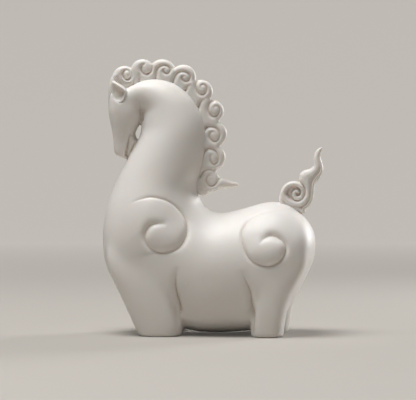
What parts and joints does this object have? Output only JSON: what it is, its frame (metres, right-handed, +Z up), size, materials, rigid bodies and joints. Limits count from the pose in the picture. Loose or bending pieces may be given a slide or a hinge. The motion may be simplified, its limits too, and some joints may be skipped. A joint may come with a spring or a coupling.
{
  "type": "porcelain horse figurine",
  "caption": "Stylised chubby standing horse in white satin porcelain, head tucked to the chest, with a curled comb mane, spiral flank volutes and an upright curled tail.",
  "frame": {"origin": "centre of the bounding box in plan, on the surface that the soles stand on", "axes": "+Z up, -X the way the horse faces, -Y its left flank"},
  "size_m": [0.1485, 0.0756, 0.1848],
  "materials": {
    "satin_porcelain": "satin white glazed porcelain"
  },
  "bodies": {
    "root": {"body_shell": "satin_porcelain", "head": "satin_porcelain", "left_ear": "satin_porcelain", "right_ear": "satin_porcelain", "forelock": "satin_porcelain", "mane_crest": "satin_porcelain", "tail": "satin_porcelain"}
  },
  "joints": []
}
